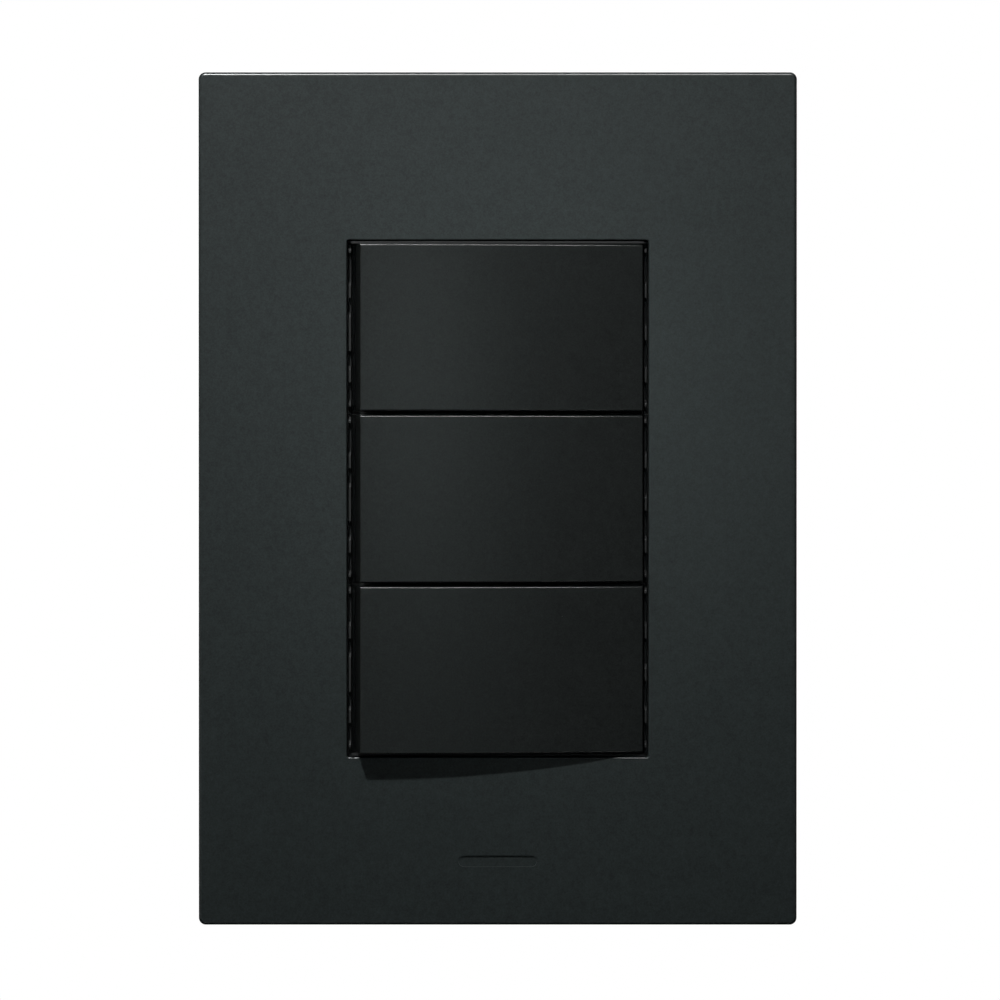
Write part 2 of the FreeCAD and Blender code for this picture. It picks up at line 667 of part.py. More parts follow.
def rocker():
    """The rocker cap at neutral: a shell with a crowned face, whose end walls slope out towards the back."""
    low = -ROCKER_HALF_Z
    face_end = ROCKER_FACE + ROCKER_CROWN
    left, right = V(-ROCKER_HALF_FACE, face_end, low), V(ROCKER_HALF_FACE, face_end, low)
    face = Part.Arc(left, V(0, ROCKER_FACE, low), right).toShape()
    skirt = [right, V(ROCKER_HALF_SKIRT, ROCKER_SKIRT, low), V(-ROCKER_HALF_SKIRT, ROCKER_SKIRT, low), left]
    outline = Part.Wire([face] + Part.makePolygon(skirt).Edges)
    body = Part.Face(outline).extrude(Z_AXIS * 2 * ROCKER_HALF_Z)
    long_edges = edges(body, lambda p: p.y < face_end + SLACK and near(abs(p.z), ROCKER_HALF_Z))
    body = body.makeFillet(ROCKER_EDGE, long_edges)
    end_edges = edges(body, lambda p: abs(p.x) > ROCKER_HALF_FACE - SLACK)
    end_edges = [edge for edge in end_edges if not all(near(v.Y, ROCKER_SKIRT) for v in edge.Vertexes)]
    body = body.makeFillet(ROCKER_END, end_edges)
    inside = (ROCKER_FACE + ROCKER_TOP, ROCKER_SKIRT + PAST)
    hollow = centred(ROCKER_HALF_FACE - ROCKER_SHELL, inside, ROCKER_HALF_Z - ROCKER_SHELL)
    body = body.cut(hollow)
    ribs = []
    rib_half = ROCKER_HALF_Z - ROCKER_SHELL + OVERLAP
    for x, half, reach in ROCKER_RIBS:
        for side in (-1, 1):
            rib_y = (ROCKER_FACE + ROCKER_TOP - OVERLAP, ROCKER_FACE + reach)
            ribs.append(centred(half, rib_y, rib_half, x=side * x))
    return fuse(body, *ribs)


def behind_pivot(distance):
    """A point on the rocker's middle line at neutral, this far behind the pivot."""
    return V(0, PIVOT_Y + distance, 0)


def rocker_carrier():
    """The carrier clipped into the cap at neutral: plate, hub, pivot pins and plunger tube."""
    front = ROCKER_FACE + ROCKER_TOP
    plate = centred(CARRIER_HALF, (front, front + CARRIER_THICKNESS), CARRIER_HALF)
    web = centred(WEB_HALF_X, (front + OVERLAP, PIVOT_Y), CARRIER_HALF)
    cross = centred(CROSS_HALF[0], (front + OVERLAP, front + CROSS_REACH), CROSS_HALF[1])
    hub = rod(HUB_R, V(0, PIVOT_Y, -CARRIER_HALF), V(0, PIVOT_Y, CARRIER_HALF))
    pins = rod(PIVOT_R, V(0, PIVOT_Y, -PIVOT_END), V(0, PIVOT_Y, PIVOT_END))
    tube = rod(TUBE_R, behind_pivot(0), behind_pivot(TUBE_END))
    bore = rod(PLUNGER_R + PLUNGER_GAP, behind_pivot(BORE_START), behind_pivot(TUBE_END + PAST))
    return fuse(plate, web, cross, hub, pins, tube).cut(bore)


def plunger():
    """The plunger at neutral: a round bar with a ball tip and a spigot for its spring."""
    tail = behind_pivot(PLUNGER_TAIL)
    bar = rod(PLUNGER_R, tail, behind_pivot(PLUNGER_TIP))
    tip = Part.makeSphere(PLUNGER_R, behind_pivot(PLUNGER_TIP))
    spigot = rod(SPIGOT_R, tail - Y_AXIS * SPIGOT_LENGTH, tail + Y_AXIS * OVERLAP)
    return fuse(bar, tip, spigot)


def plunger_spring():
    """The compression spring behind the plunger at neutral."""
    clear = SPRING_WIRE_R + SPRING_GAP
    start = BORE_START + clear
    height = PLUNGER_TAIL - clear - start
    path = Part.makeHelix(height / SPRING_TURNS, height, SPRING_R)
    section = Part.Wire(Part.makeCircle(SPRING_WIRE_R, V(SPRING_R, 0, 0), Y_AXIS))
    coil = Part.Wire(path).makePipeShell([section], True, True)
    coil.Placement = FreeCAD.Placement(behind_pivot(start), FreeCAD.Rotation(Z_AXIS, Y_AXIS))
    return coil


def contact_lever():
    """The copper lever at neutral, notched where it sits on the fulcrum."""
    front = FULCRUM_Y - LEVER_TOP
    back = front + LEVER_THICKNESS
    plate = centred(LEVER_HALF_X, (front, back), LEVER_HALF_Z)
    corners = edges(plate, lambda p: near(abs(p.x), LEVER_HALF_X) and near(abs(p.z), LEVER_HALF_Z))
    plate = plate.makeFillet(LEVER_CORNER, corners)
    removed = []
    for side in (-1, 1):
        z = sorted((side * NOTCH_START, side * (LEVER_HALF_Z + PAST)))
        removed.append(box((-NOTCH_HALF_X, NOTCH_HALF_X), (front - PAST, back + PAST), z))
        x = side * CONTACT_X
        removed.append(rod(SHANK_R, V(x, front - PAST, 0), V(x, back + PAST, 0)))
    return cut(plate, *removed)


def lever_contacts():
    """The two silver rivets on the lever at neutral."""
    front = FULCRUM_Y - LEVER_TOP
    back = front + LEVER_THICKNESS
    rivets = []
    for x in (-CONTACT_X, CONTACT_X):
        shank = rod(SHANK_R, V(x, front, 0), V(x, back, 0))
        head = dome(CONTACT_R, CONTACT_HEIGHT, V(x, back, 0), Y_AXIS)
        upset = rod(UPSET_R, V(x, front - UPSET_HEIGHT, 0), V(x, front, 0))
        rivets.append(fuse(shank, head, upset))
    return Part.makeCompound(rivets)


def fixed_contacts():
    """The two silver rivets on the left and right terminals."""
    rivets = []
    for x in (-FIXED_CONTACT_X, FIXED_CONTACT_X):
        head = dome(CONTACT_R, FIXED_CONTACT_HEIGHT, V(x, FIXED_STRIP_Y, 0), -Y_AXIS)
        shank = rod(SHANK_R, V(x, FIXED_STRIP_Y, 0), V(x, FIXED_STRIP_Y + STRIP, 0))
        rivets.append(fuse(head, shank))
    return Part.makeCompound(rivets)


def screw_hole(side, row, radius):
    """A hole along X at a terminal screw, to remove."""
    z = row * TERMINAL_Z
    return rod(radius, V(side * (LEG_X - PAST), SCREW_Y, z), V(side * (HALF_X + PAST), SCREW_Y, z))


def leg(side, row, front):
    """The upright leg of a terminal, with its screw thread as a plain hole."""
    x = sorted((side * LEG_X, side * (LEG_X + STRIP)))
    z = (row * TERMINAL_Z - LEG_HALF_Z, row * TERMINAL_Z + LEG_HALF_Z)
    return box(x, (front, LEG_END), z).cut(screw_hole(side, row, SCREW_R + THREAD_GAP))


def fixed_terminal(side):
    """The left (-1) or right (1) terminal: contact strip, shoulder and leg."""
    y = (FIXED_STRIP_Y, FIXED_STRIP_Y + STRIP)
    outside = side * (LEG_X + STRIP)
    tongue = box(sorted((side * TONGUE_START, outside)), y, (-TONGUE_HALF_Z, TONGUE_HALF_Z))
    shoulder_z = (SHOULDER_START[1], TERMINAL_Z + LEG_HALF_Z)
    shoulder = box(sorted((side * SHOULDER_START[0], outside)), y, shoulder_z)
    terminal = fuse(tongue, shoulder, leg(side, 1, FIXED_STRIP_Y))
    x = side * FIXED_CONTACT_X
    return terminal.cut(rod(SHANK_R, V(x, y[0] - PAST, 0), V(x, y[1] + PAST, 0)))


def common_terminal():
    """The common terminal: fulcrum with side tines, strip and leg."""
    y = (COMMON_STRIP_Y, COMMON_STRIP_Y + STRIP)
    low = -TERMINAL_Z - LEG_HALF_Z
    knife = rod(KNIFE_R, V(0, FULCRUM_Y, -TONGUE_HALF_Z), V(0, FULCRUM_Y, TONGUE_HALF_Z))
    upright = centred(KNIFE_R, (FULCRUM_Y, y[1]), UPRIGHT_HALF_Z)
    tine_y = (FULCRUM_Y - TINE_REACH, FULCRUM_Y + PAST)
    tines = [centred(KNIFE_R, tine_y, TINE_HALF, z=z) for z in (-TINE_Z, TINE_Z)]
    foot = box((-KNIFE_R, KNIFE_R + FOOT_REACH), y, (low, UPRIGHT_HALF_Z))
    strip = box((0, LEG_X + STRIP), y, (low, -LEVER_HALF_Z))
    return fuse(knife, upright, *tines, foot, strip, leg(1, -1, COMMON_STRIP_Y))


def terminal_screws():
    """The three terminal screws of a module, with a slot through the cross of each head."""
    screws = []
    head_x = LEG_X + STRIP + 2 * WIRE_R + CLAMP_THICKNESS + SEAT_GAP
    top_x = head_x + HEAD_HEIGHT
    for side, row in TERMINALS:
        z = row * TERMINAL_Z
        out = X_AXIS * side
        seat, top = V(side * head_x, SCREW_Y, z), V(side * top_x, SCREW_Y, z)
        head = rod(HEAD_R, seat, top)
        head = head.makeFillet(HEAD_EDGE, edges(head, lambda p: near(p.x, side * top_x)))
        shank = rod(SCREW_R, V(side * SCREW_TIP, SCREW_Y, z), seat + out * OVERLAP)
        recess = cross_recess(top, -out, *HEAD_RECESS)
        slot_x = sorted((side * (top_x - HEAD_SLOT[0]), side * (top_x + PAST)))
        slot_y = (SCREW_Y - HEAD_R - PAST, SCREW_Y + HEAD_R + PAST)
        slot = box(slot_x, slot_y, (z - HEAD_SLOT[1] / 2, z + HEAD_SLOT[1] / 2))
        screws.append(cut(fuse(head, shank), recess, slot))
    return Part.makeCompound(screws)


def clamp_plates():
    """The three plates that press the wires on the legs, grooved where the wires lie."""
    plates = []
    inner = LEG_X + STRIP + 2 * WIRE_R
    for side, row in TERMINALS:
        x = sorted((side * inner, side * (inner + CLAMP_THICKNESS)))
        z = row * TERMINAL_Z
        plate = box(x, (CLAMP_FRONT, LEG_END), (z - LEG_HALF_Z, z + LEG_HALF_Z))
        grooves = []
        for offset in (TERMINAL_Z - WIRE_Z, WIRE_Z - TERMINAL_Z):
            start = V(side * (inner + GROOVE_DEPTH - GROOVE_R), CLAMP_FRONT - PAST, z + offset)
            grooves.append(rod(GROOVE_R, start, V(start.x, LEG_END + PAST, start.z)))
        plates.append(cut(plate, screw_hole(side, row, SCREW_R + OVERLAP), *grooves))
    return Part.makeCompound(plates)


# ------------------------------------------------------------------- assembly


def tipped(shape, pivot_y, angle):
    """A piece turned from neutral about an axis parallel to Z."""
    turned = shape.copy()
    turned.rotate(V(0, pivot_y, 0), Z_AXIS, angle)
    return turned


def module_pieces():
    """Every piece of a module, centred on Z = 0, as it rests."""
    lever_angle = TILT * LEVER_RATIO
    return {
        "housing": housing(),
        "terminal_base": terminal_base(),
        "rocker": tipped(rocker(), PIVOT_Y, TILT),
        "rocker_carrier": tipped(rocker_carrier(), PIVOT_Y, TILT),
        "plunger": tipped(plunger(), PIVOT_Y, TILT),
        "plunger_spring": tipped(plunger_spring(), PIVOT_Y, TILT),
        "contact_lever": tipped(contact_lever(), FULCRUM_Y, lever_angle),
        "lever_contacts": tipped(lever_contacts(), FULCRUM_Y, lever_angle),
        "common_terminal": common_terminal(),
        "left_terminal": fixed_terminal(-1),
        "right_terminal": fixed_terminal(1),
        "fixed_contacts": fixed_contacts(),
        "terminal_screws": terminal_screws(),
        "clamp_plates": clamp_plates(),
    }


def assembly():
    """Every node and its shape."""
    nodes = {
        "cover_plate": cover_plate(),
        "support_frame": support_frame(),
        "mounting_screws": mounting_screws(),
    }
    pieces = module_pieces()
    for place, z in MODULES.items():
        for name, shape in pieces.items():
            moved = shape.copy()
            moved.translate(Z_AXIS * z)
            nodes[f"{place}_{name}"] = moved
    return nodes


def main():
    """Check every shape, write it, and print its size."""
    os.makedirs("parts", exist_ok=True)
    for name, shape in assembly().items():
        if not shape.isValid():
            raise SystemExit(f"{name} is not a valid shape")
        shape.exportStep(f"parts/{name}.step")
        size = shape.BoundBox
        print(f"{name}: {len(shape.Solids)} solids, {shape.Volume:.1f} mm3, "
              f"{size.XLength:.2f} x {size.YLength:.2f} x {size.ZLength:.2f}")


main()
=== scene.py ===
"""Looks of the wall plate with three rocker switches.

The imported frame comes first, then materials, the rocker caps and springs, the studio and the camera.
Lengths are in metres, in the frame of the CAD: X to the right, Z up, the front towards -Y.
"""

import json
import math

import bmesh
import bpy
from mathutils import Matrix, Vector


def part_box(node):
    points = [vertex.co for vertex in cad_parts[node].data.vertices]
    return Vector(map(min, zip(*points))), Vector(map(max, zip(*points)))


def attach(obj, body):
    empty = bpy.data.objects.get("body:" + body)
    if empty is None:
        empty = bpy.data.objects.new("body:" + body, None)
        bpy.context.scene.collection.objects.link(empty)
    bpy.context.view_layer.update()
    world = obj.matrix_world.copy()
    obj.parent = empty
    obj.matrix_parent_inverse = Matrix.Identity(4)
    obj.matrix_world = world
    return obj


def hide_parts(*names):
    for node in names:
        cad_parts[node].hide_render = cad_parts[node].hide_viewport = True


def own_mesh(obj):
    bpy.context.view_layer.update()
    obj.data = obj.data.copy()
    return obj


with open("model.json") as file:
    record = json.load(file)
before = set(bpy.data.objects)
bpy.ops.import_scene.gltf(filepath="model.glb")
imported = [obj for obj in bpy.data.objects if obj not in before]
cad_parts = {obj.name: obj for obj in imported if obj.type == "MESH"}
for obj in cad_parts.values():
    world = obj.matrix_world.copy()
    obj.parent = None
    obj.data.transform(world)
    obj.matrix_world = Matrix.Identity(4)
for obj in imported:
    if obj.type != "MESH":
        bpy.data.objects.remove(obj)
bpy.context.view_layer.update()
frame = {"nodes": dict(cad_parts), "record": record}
scene = bpy.context.scene

MM = 0.001
PLACES = ("top", "middle", "bottom")


# ------------------------------------------------------------------ node tools

EDGE_BLEND = 6  # rays of the rounded normal
EDGE_FULL = 0.8  # cosine of the turn at which an edge counts in full
TURN_KEPT = 0.6  # cosine of the turn up to which the burnish stays whole


class Surface:
    """A material and short ways to add and join its nodes."""

    def __init__(self, name):
        self.material = bpy.data.materials.new(name)
        self.material.use_nodes = True
        self.tree = self.material.node_tree
        self.shader = self.tree.nodes["Principled BSDF"]
        coordinates = self.node("ShaderNodeTexCoord")
        self.place = coordinates.outputs["Object"]
        self.facing = coordinates.outputs["Normal"]

    def node(self, kind, **values):
        """Adds a node. Values name its properties, or its inputs with _ for a space."""
        made = self.tree.nodes.new(kind)
        for key, value in values.items():
            if hasattr(made, key):
                setattr(made, key, value)
            else:
                self.put(made.inputs[key.replace("_", " ")], value)
        return made

    def put(self, socket, value):
        """Links an output into a socket, or sets the socket's own value."""
        if isinstance(value, bpy.types.NodeSocket):
            self.tree.links.new(value, socket)
        else:
            socket.default_value = value

    def set(self, **values):
        """Sets or links inputs of the shader."""
        for key, value in values.items():
            self.put(self.shader.inputs[key.replace("_", " ")], value)

    def math(self, operation, a, b=0.0, clamp=False):
        made = self.node("ShaderNodeMath", operation=operation, use_clamp=clamp)
        self.put(made.inputs[0], a)
        self.put(made.inputs[1], b)
        return made.outputs[0]

    def remap(self, value, low, high, new_low, new_high):
        """A value's range stretched to another, and clamped."""
        limits = {"From_Min": low, "From_Max": high, "To_Min": new_low, "To_Max": new_high}
        made = self.node("ShaderNodeMapRange", **limits)
        self.put(made.inputs["Value"], value)
        return made.outputs["Result"]

    def stretched(self, factors):
        """The place on the object, scaled differently along each axis."""
        made = self.node("ShaderNodeMapping")
        self.put(made.inputs["Vector"], self.place)
        made.inputs["Scale"].default_value = factors
        return made.outputs["Vector"]

    def noise(self, size, detail=2.0, rough=0.5, place=None):
        """Smooth noise from 0 to 1 whose features are about this size, in metres."""
        made = self.node("ShaderNodeTexNoise", Scale=1 / size, Detail=detail, Roughness=rough)
        self.put(made.inputs["Vector"], place or self.place)
        return made.outputs["Fac"]

    def specks(self, spacing, size, share):
        """Small round dots, 1 inside and 0 outside: one in each cell of a share of the cells."""
        cells = self.node("ShaderNodeTexVoronoi", Scale=1 / spacing)
        self.put(cells.inputs["Vector"], self.place)
        split = self.node("ShaderNodeSeparateColor")
        self.put(split.inputs["Color"], cells.outputs["Color"])
        inside = self.math("LESS_THAN", cells.outputs["Distance"], size / spacing)
        return self.math("MULTIPLY", inside, self.math("LESS_THAN", split.outputs["Red"], share))

    def rounded(self, radius):
        """The surface's normal, turned smoothly over its sharp edges."""
        return self.node("ShaderNodeBevel", samples=EDGE_BLEND, Radius=radius).outputs["Normal"]

    def edges(self, radius):
        """0 on flat stretches, rising to 1 on edges and corners."""
        rounded = self.rounded(radius)
        plain = self.node("ShaderNodeNewGeometry").outputs["Normal"]
        dot = self.node("ShaderNodeVectorMath", operation="DOT_PRODUCT")
        self.put(dot.inputs[0], rounded)
        self.put(dot.inputs[1], plain)
        return self.remap(dot.outputs["Value"], 1.0, EDGE_FULL, 0.0, 1.0)

    def turned(self, least, most, end):
        """1 where a surface is turned most degrees from the front, 0 up to least and past end."""
        split = self.node("ShaderNodeSeparateXYZ")
        self.put(split.inputs["Vector"], self.facing)
        forward = self.math("ABSOLUTE", split.outputs["Y"])
        away = self.remap(forward, math.cos(math.radians(least)), math.cos(math.radians(most)), 0.0, 1.0)
        kept = self.remap(forward, math.cos(math.radians(end)), TURN_KEPT, 0.0, 1.0)
        return self.math("MULTIPLY", away, kept)

    def shade(self, colour, factor):
        """A colour made lighter or darker by a factor that varies over the surface."""
        made = self.node("ShaderNodeVectorMath", operation="SCALE")
        self.put(made.inputs[0], colour)
        self.put(made.inputs["Scale"], factor)
        return made.outputs["Vector"]

    def mix(self, amount, a, b):
        """Colour a where amount is 0, b where it is 1."""
        made = self.node("ShaderNodeMix", data_type="RGBA")
        self.put(made.inputs[0], amount)
        self.put(made.inputs[6], a if isinstance(a, bpy.types.NodeSocket) else (*a, 1.0))
        self.put(made.inputs[7], b if isinstance(b, bpy.types.NodeSocket) else (*b, 1.0))
        return made.outputs[2]

    def bump(self, height, depth, after=None):
        """A normal from a height field of this depth, in metres, on top of another normal."""
        made = self.node("ShaderNodeBump", Strength=1.0, Distance=depth)
        self.put(made.inputs["Height"], height)
        if after is not None:
            self.put(made.inputs["Normal"], after)
        return made.outputs["Normal"]


# ------------------------------------------------------------------- materials

PATCH_SIZE = 25 * MM
STREAK_SIZE = 3 * MM
CLOUD_SIZE = 0.8 * MM
MOULD_EDGE = 0.35 * MM
STREAK_TONE = 0.08  # how far the middle scale of patches lightens and darkens the colour
GRAIN_TONE = 2.5  # the finest scale's tone, as a multiple of the cloudy one's
EDGE_WEAR = 0.25  # how much lighter an edge is
EDGE_GLOSS = 0.04  # how much smoother an edge is
GLOSS_PATCH = 0.012
BURNISH_TURN = (11, 20, 75)  # degrees from the front
DUST_SPACING = 9 * MM
DUST_SIZE = 0.08 * MM
DUST_COLOUR = (0.35, 0.35, 0.33)


def moulded(name, colour, roughness, grain, grain_size=0.22 * MM, shine=0.5, patch=0.05, mottle=0.12,
            dust=0.0, burnish=0.0, rounding=0.0):
    """Moulded plastic with a spark-eroded grain, patches of tone, burnished edges and a little dust."""
    s = Surface(name)
    fine = s.noise(grain_size, detail=3.0, rough=0.6)
    middle = s.noise(STREAK_SIZE, detail=1.0)
    broad = s.noise(PATCH_SIZE, detail=2.0)
    cloudy = s.noise(CLOUD_SIZE, detail=2.0)
    tone = s.remap(broad, 0.2, 0.8, 1 - patch, 1 + patch)
    for field, depth in ((middle, STREAK_TONE), (cloudy, mottle), (fine, GRAIN_TONE * mottle)):
        tone = s.math("ADD", tone, s.remap(field, 0.1, 0.9, -depth, depth))
    edge = s.edges(MOULD_EDGE)
    tone = s.math("ADD", tone, s.math("MULTIPLY", edge, EDGE_WEAR))
    shade = s.shade(colour, tone)
    if dust:
        shade = s.mix(s.specks(DUST_SPACING, DUST_SIZE, dust), shade, DUST_COLOUR)
    s.set(Base_Color=shade)
    rough = s.remap(middle, 0.1, 0.9, roughness - GLOSS_PATCH, roughness + GLOSS_PATCH)
    rough = s.math("ADD", rough, s.math("MULTIPLY", edge, -EDGE_GLOSS))
    if burnish:
        rough = s.math("SUBTRACT", rough, s.math("MULTIPLY", s.turned(*BURNISH_TURN), burnish))
    turned = s.rounded(rounding) if rounding else None
    s.set(Roughness=rough, Normal=s.bump(fine, grain, turned), Specular_IOR_Level=shine)
    return s


LINE_SIZE = 0.18 * MM
TARNISH_SIZE = 1.8 * MM
METAL_EDGE = 0.2 * MM


def metal(name, colour, dull, roughness, lines=(1, 1, 1), scratch=4e-6):
    """Worked metal: rolled or turned lines, tarnished patches and bright edges."""
    s = Surface(name)
    drawn = s.noise(LINE_SIZE, detail=3.0, place=s.stretched(lines))
    tarnish = s.remap(s.noise(TARNISH_SIZE, detail=5.0, rough=0.65), 0.35, 0.7, 0.0, 1.0)
    edge = s.edges(METAL_EDGE)
    shade = s.mix(s.math("MULTIPLY", tarnish, 0.7), colour, dull)
    shade = s.mix(s.math("MULTIPLY", edge, 0.5), shade, colour)
    s.set(Base_Color=shade, Metallic=1.0)
    rough = s.math("ADD", s.remap(drawn, 0.3, 0.7, roughness - 0.06, roughness + 0.08),
                   s.math("MULTIPLY", tarnish, 0.15))
    s.set(Roughness=rough, Normal=s.bump(drawn, scratch))
    return s


def natural_plastic(name, colour):
    """Unpigmented, slightly waxy plastic with light below its skin."""
    s = Surface(name)
    cloud = s.noise(3 * MM, detail=3.0)
    fine = s.noise(0.3 * MM, detail=2.0)
    s.set(Base_Color=s.shade(colour, s.remap(cloud, 0.3, 0.7, 0.94, 1.03)))
    s.set(Subsurface_Weight=0.15, Subsurface_Scale=0.5 * MM)
    s.set(Roughness=s.remap(cloud, 0.3, 0.7, 0.34, 0.42), Normal=s.bump(fine, 3e-6))
    return s


SURFACES = {
    "plate": moulded("graphite_plate", (0.0241, 0.0304, 0.0303), 0.33, grain=2e-6, mottle=0.28, dust=0.03,
                     burnish=0.08),
    "rocker": moulded("black_rocker", (0.0155, 0.0176, 0.0172), 0.32, grain=1e-6, shine=0.38, mottle=0.3,
                      dust=0.08, burnish=0.13),
    "housing": moulded("black_housing", (0.026, 0.027, 0.027), 0.50, grain=6e-6, grain_size=0.3 * MM,
                       shine=0.3, rounding=0.12 * MM),
    "base": moulded("grey_base", (0.075, 0.078, 0.083), 0.45, grain=4e-6, grain_size=0.3 * MM),
    "frame": moulded("black_frame", (0.021, 0.022, 0.023), 0.55, grain=7e-6, grain_size=0.35 * MM,
                     shine=0.25, patch=0.10, rounding=0.06 * MM),
    "carrier": natural_plastic("natural_carrier", (0.62, 0.60, 0.54)),
    "plunger": natural_plastic("waxy_plunger", (0.82, 0.81, 0.76)),
    "brass": metal("stamped_brass", (0.83, 0.62, 0.30), (0.46, 0.31, 0.15), 0.28, lines=(0.15, 1, 1)),
    "copper": metal("rolled_copper", (0.86, 0.47, 0.31), (0.42, 0.22, 0.15), 0.25, lines=(0.1, 1, 1)),
    "contact": metal("silver_contact", (0.90, 0.89, 0.86), (0.55, 0.52, 0.46), 0.20, scratch=1e-6),
    "screw": metal("zinc_screw", (0.70, 0.72, 0.74), (0.42, 0.43, 0.42), 0.30, lines=(1, 0.3, 1)),
    "clamp": metal("zinc_clamp", (0.74, 0.72, 0.66), (0.46, 0.44, 0.38), 0.32, lines=(1, 0.15, 1)),
    "spring": metal("spring_wire", (0.60, 0.60, 0.61), (0.33, 0.32, 0.31), 0.25),
}


def dress_nodes():
    """Gives every CAD node the surface of its material slot."""
    for part in frame["record"]["subparts"]:
        node = frame["nodes"][part["node"]]
        node.data.materials.clear()
        node.data.materials.append(SURFACES[part["material_slot"]].material)


# ----------------------------------------------------------------- rocker caps

CAP_FACE = -11.0 * MM  # middle of the slightly domed face, at neutral
CAP_CROWN = 0.75 * MM  # how far the face falls away to each end
CAP_SKIRT = -5.4 * MM
CAP_HALF_FACE = 19.85 * MM
CAP_HALF_SKIRT = 20.3 * MM
CAP_WALL = 1.3 * MM
CAP_TOP = 1.9 * MM
CAP_EDGE = 0.3 * MM  # round along the top and bottom of the face
CAP_END = 0.12 * MM  # round at the two ends and down the corners
CAP_RIBS = (  # x, half thickness, reach from the face
    (9.6 * MM, 0.5 * MM, 3.8 * MM),
    (14.5 * MM, 0.4 * MM, 3.0 * MM),
)
CAP_STATIONS = 40  # along the face
CAP_SEGMENTS = 6  # across the round
CAP_SHARP = math.radians(35)
PIVOT_Y = -2.8 * MM
TILT = math.radians(4.5)
INTO = 0.2 * MM  # joined solids run into each other by this much


def block(mesh, x, y, z):
    """Adds a closed block to a mesh from three (low, high) pairs."""
    size = Vector((x[1] - x[0], y[1] - y[0], z[1] - z[0]))
    middle = Vector((x[0] + x[1], y[0] + y[1], z[0] + z[1])) / 2
    place = Matrix.Translation(middle) @ Matrix.Diagonal((*size, 1.0))
    bmesh.ops.create_cube(mesh, size=1.0, matrix=place)


def as_object(mesh, name):
    """An object made of a bmesh, with its faces turned outwards."""
    bmesh.ops.recalc_face_normals(mesh, faces=mesh.faces)
    data = bpy.data.meshes.new(name)
    mesh.to_mesh(data)
    mesh.free()
    made = bpy.data.objects.new(name, data)
    scene.collection.objects.link(made)
    return made


def cap_body(half_z):
    """The cap's outer form as a solid, with each edge's share of the full round as its weight."""
    mesh = bmesh.new()
    rows = []
    for step in range(CAP_STATIONS + 1):
        along = 2 * step / CAP_STATIONS - 1
        face_y = CAP_FACE + CAP_CROWN * along**2
        corners = ((CAP_HALF_SKIRT, CAP_SKIRT, -half_z), (CAP_HALF_FACE, face_y, -half_z),
                   (CAP_HALF_FACE, face_y, half_z), (CAP_HALF_SKIRT, CAP_SKIRT, half_z))
        rows.append([mesh.verts.new((along * x, y, z)) for x, y, z in corners])
    for near, far in zip(rows, rows[1:]):
        for i in range(4):
            mesh.faces.new((near[i], near[(i + 1) % 4], far[(i + 1) % 4], far[i]))
    mesh.faces.new(rows[0])
    mesh.faces.new(rows[-1])
    weight = mesh.edges.layers.float.new("bevel_weight_edge")
    for near, far in zip(rows, rows[1:]):
        for i in (1, 2):
            mesh.edges.get((near[i], far[i]))[weight] = 1.0
    for row in (rows[0], rows[-1]):
        for i in range(3):
            mesh.edges.get((row[i], row[i + 1]))[weight] = CAP_END / CAP_EDGE
    return as_object(mesh, "cap_body")


def cap_hollow(half_z):
    """The room inside the cap."""
    mesh = bmesh.new()
    inner_x, inner_z = CAP_HALF_FACE - CAP_WALL, half_z - CAP_WALL
    block(mesh, (-inner_x, inner_x), (CAP_FACE + CAP_TOP, CAP_SKIRT + MM), (-inner_z, inner_z))
    return as_object(mesh, "cap_hollow")


def cap_ribs(half_z):
    """The ribs across the inside of the cap."""
    mesh = bmesh.new()
    end = half_z - CAP_WALL + INTO
    for centre, half, reach in CAP_RIBS:
        for x in (-centre, centre):
            block(mesh, (x - half, x + half), (CAP_FACE + CAP_TOP - INTO, CAP_FACE + reach), (-end, end))
    return as_object(mesh, "cap_ribs")


def cap_mesh(half_z):
    """The finished cap at neutral: rounded, hollow and ribbed."""
    body, hollow, ribs = cap_body(half_z), cap_hollow(half_z), cap_ribs(half_z)
    rounds = body.modifiers.new("rounds", "BEVEL")
    rounds.limit_method = "WEIGHT"
    rounds.width = CAP_EDGE
    rounds.segments = CAP_SEGMENTS
    for name, operation, tool in (("hollow", "DIFFERENCE", hollow), ("ribs", "UNION", ribs)):
        join = body.modifiers.new(name, "BOOLEAN")
        join.operation = operation
        join.solver = "EXACT"
        join.object = tool
    data = bpy.data.meshes.new_from_object(body.evaluated_get(bpy.context.evaluated_depsgraph_get()))
    for helper in (body, hollow, ribs):
        bpy.data.objects.remove(helper)
    data.polygons.foreach_set("use_smooth", [True] * len(data.polygons))
    data.set_sharp_from_angle(angle=CAP_SHARP)
    return data


def on_rocker(data, place, node, slot):
    """A piece made at neutral about the pivot, tipped with its rocker as it rests, in the place of a node."""
    low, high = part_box(f"{place}_rocker")
    pivot = Matrix.Translation((0, PIVOT_Y, (low.z + high.z) / 2))
    data = data.copy()
    data.transform(pivot @ Matrix.Rotation(TILT, 4, "Z"))
    data.materials.clear()
    data.materials.append(SURFACES[slot].material)
    piece = bpy.data.objects.new(f"{node}_detail", data)
    scene.collection.objects.link(piece)
    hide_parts(node)
    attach(piece, f"{place}_rocker")
    return piece


def rocker_caps():
    """A clean cap in the place of each rocker."""
    low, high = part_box("top_rocker")
    data = cap_mesh((high.z - low.z) / 2)
    data.transform(Matrix.Translation((0, -PIVOT_Y, 0)))
    for place in PLACES:
        cap = on_rocker(data, place, f"{place}_rocker", "rocker")
        cap.modifiers.new("even_normals", "WEIGHTED_NORMAL").keep_sharp = True


# ------------------------------------------------------------- plunger springs

SPRING_R = 1.25 * MM
SPRING_WIRE_R = 0.2 * MM
SPRING_TURNS = 6
SPRING_POINTS = 32  # in each turn
SPRING_START = 2.65 * MM  # behind the pivot
SPRING_LENGTH = 6.1 * MM


